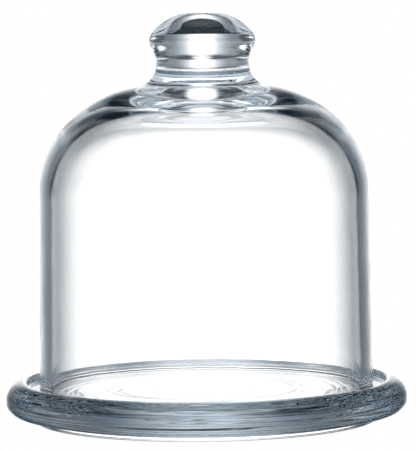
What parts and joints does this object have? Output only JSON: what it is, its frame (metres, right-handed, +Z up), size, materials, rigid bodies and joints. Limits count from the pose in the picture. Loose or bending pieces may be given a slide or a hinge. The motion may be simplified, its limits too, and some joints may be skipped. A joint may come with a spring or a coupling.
{
  "type": "glass cheese dome",
  "caption": "Clear glass bell-shaped cheese dome with a solid round knob, standing inside the raised rim of a thick round glass plate.",
  "frame": {"origin": "on the axis of the plate and dome, at the plane of the foot ring that stands on the table", "axes": "+Z up along the common axis, from the plate to the knob"},
  "size_m": [0.13, 0.13, 0.1327],
  "materials": {
    "plate_glass": "thick clear pressed soda-lime glass with a faint blue-grey tint, polished, with soft mould ripples in the rim",
    "dome_glass": "clear soda-lime glass, fire-polished, slightly uneven in thickness"
  },
  "bodies": {
    "plate": {"base_plate": "plate_glass"},
    "dome": {"glass_dome": "dome_glass"}
  },
  "joints": [
    {"name": "dome_lift", "type": "slide", "parent": "plate", "child": "dome", "axis": [0, 0, 1], "range_m": [0, 0.1]}
  ]
}
